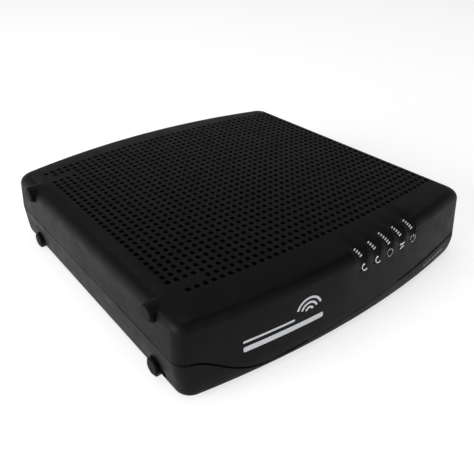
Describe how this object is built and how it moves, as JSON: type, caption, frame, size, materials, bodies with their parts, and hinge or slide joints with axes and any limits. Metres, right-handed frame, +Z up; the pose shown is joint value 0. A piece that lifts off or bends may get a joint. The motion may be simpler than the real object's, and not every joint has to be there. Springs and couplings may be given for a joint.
{
  "type": "cable modem",
  "caption": "Flat desktop cable modem: vented cover with bowed front, indicator flutes, side feet, rear alcove with sockets and a sprung reset button.",
  "frame": {"origin": "centre of the footprint, on the surface that the bottom feet stand on", "axes": "+X to the right across the width, -Y to the indicators and +Y to the sockets, +Z up"},
  "size_m": [0.1882, 0.1936, 0.0394],
  "materials": {
    "casing_plastic": "matte",
    "lens_plastic": "gloss",
    "board_laminate": "satin",
    "chip_plastic": "matte",
    "heatsink_metal": "satin",
    "can_metal": "satin",
    "transformer_tape": "satin",
    "connector_metal": "satin",
    "insulator_plastic": "satin",
    "contact_metal": "satin",
    "jack_plastic": "satin",
    "button_plastic": "satin",
    "label_film": "satin",
    "screw_steel": "satin",
    "foot_rubber": "matte",
    "capacitor_sleeve": "satin",
    "led_body": "satin"
  },
  "bodies": {
    "casing": {"blank_label": "label_film", "board_screws": "screw_steel", "bottom_case": "casing_plastic", "bottom_foot_front_left": "foot_rubber", "bottom_foot_front_right": "foot_rubber", "bottom_foot_rear_left": "foot_rubber", "bottom_foot_rear_right": "foot_rubber", "capacitor_one": "capacitor_sleeve", "capacitor_three": "capacitor_sleeve", "capacitor_two": "capacitor_sleeve", "case_screws": "screw_steel", "clock_crystal": "can_metal", "coax_barrel": "connector_metal", "coax_contact": "contact_metal", "coax_insulator": "insulator_plastic", "coax_nut": "connector_metal", "ethernet_contacts": "contact_metal", "ethernet_jack": "jack_plastic", "ethernet_transformer": "chip_plastic", "led_1": "led_body", "led_2": "led_body", "led_3": "led_body", "led_4": "led_body", "led_5": "led_body", "light_guide": "lens_plastic", "line_chip_one": "chip_plastic", "line_chip_two": "chip_plastic", "main_board": "board_laminate", "main_chip": "chip_plastic", "main_heatsink": "heatsink_metal", "memory_chip": "chip_plastic", "phone_one_contacts": "contact_metal", "phone_one_jack": "jack_plastic", "phone_two_contacts": "contact_metal", "phone_two_jack": "jack_plastic", "power_coil": "chip_plastic", "power_jack": "jack_plastic", "power_pin": "contact_metal", "program_chip": "chip_plastic", "rear_panel": "casing_plastic", "reset_switch": "jack_plastic", "ring_transformer": "transformer_tape", "side_foot_front_high": "foot_rubber", "side_foot_front_low": "foot_rubber", "side_foot_rear_high": "foot_rubber", "side_foot_rear_low": "foot_rubber", "top_cover": "casing_plastic", "tuner_chip": "chip_plastic", "tuner_frame": "can_metal", "tuner_lid": "can_metal", "usb_shell": "can_metal", "usb_tongue": "insulator_plastic"},
    "reset_button": {"reset_button": "button_plastic"}
  },
  "joints": [
    {"name": "reset_press", "type": "slide", "parent": "casing", "child": "reset_button", "axis": [0, -1, 0], "range_m": [0, 0.0004], "stiffness_N_per_m": 400, "springref_m": -0.001}
  ]
}
